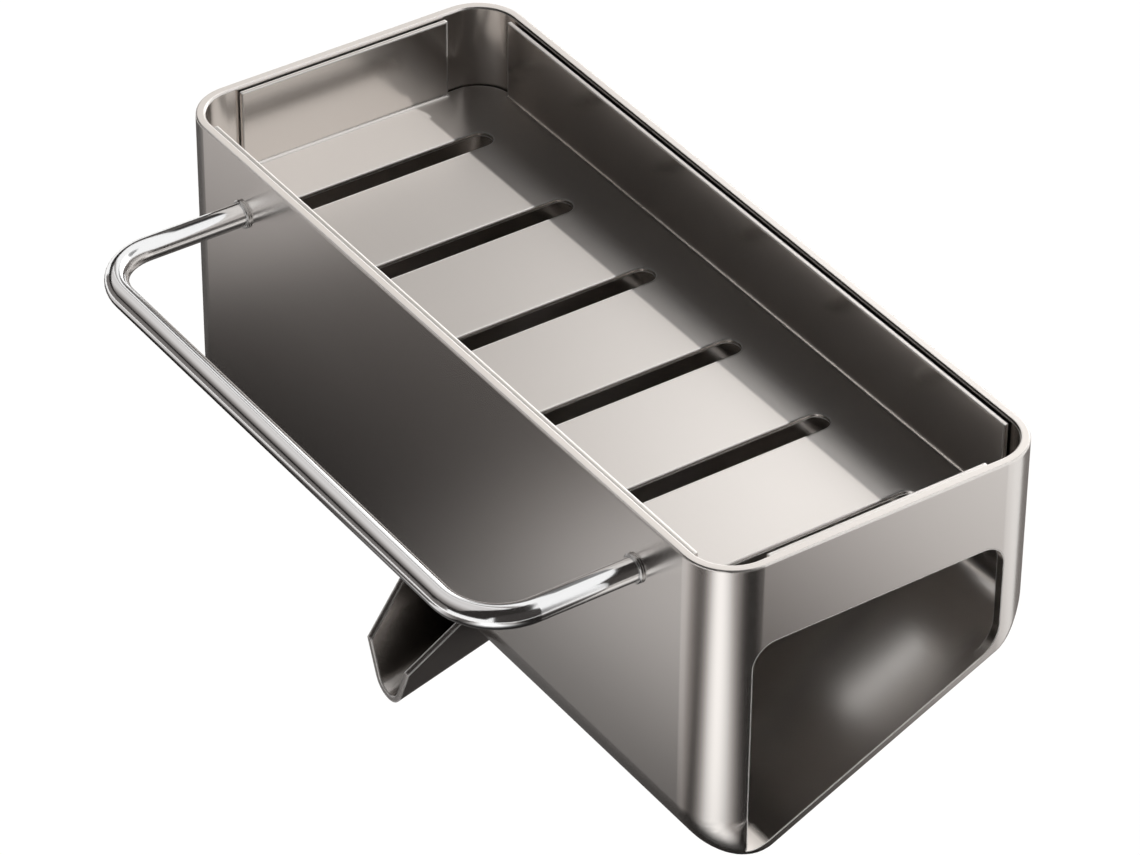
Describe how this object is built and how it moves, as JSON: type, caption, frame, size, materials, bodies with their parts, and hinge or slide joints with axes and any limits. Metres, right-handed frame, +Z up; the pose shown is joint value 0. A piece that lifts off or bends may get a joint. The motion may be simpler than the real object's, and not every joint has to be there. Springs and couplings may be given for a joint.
{
  "type": "sponge holder",
  "caption": "Wall-held steel sponge holder: box with a sloping floor and an open end window, lift-out slotted tray, cloth bar across the front and a drain spout below.",
  "frame": {"origin": "middle of the flat back of the box", "axes": "+X along the box to the right as seen from the front, +Y into the wall behind it, +Z up"},
  "size_m": [0.23, 0.1385, 0.1047],
  "materials": {
    "box_steel": "satin brushed",
    "tray_steel": "satin brushed",
    "rail_steel": "satin",
    "bar_steel": "polished",
    "collar_steel": "polished",
    "screw_steel": "machined",
    "spout_steel": "satin brushed"
  },
  "bodies": {
    "box": {"box_shell": "box_steel", "tray_rail_front": "rail_steel", "tray_rail_back": "rail_steel", "cloth_bar": "bar_steel", "bar_collar_left": "collar_steel", "bar_collar_right": "collar_steel", "bar_screws": "screw_steel", "drain_spout": "spout_steel"},
    "tray": {"slotted_tray": "tray_steel"}
  },
  "joints": [
    {"name": "tray_lift", "type": "slide", "parent": "box", "child": "tray", "axis": [0, 0, 1], "range_m": [0, 0.04]}
  ]
}
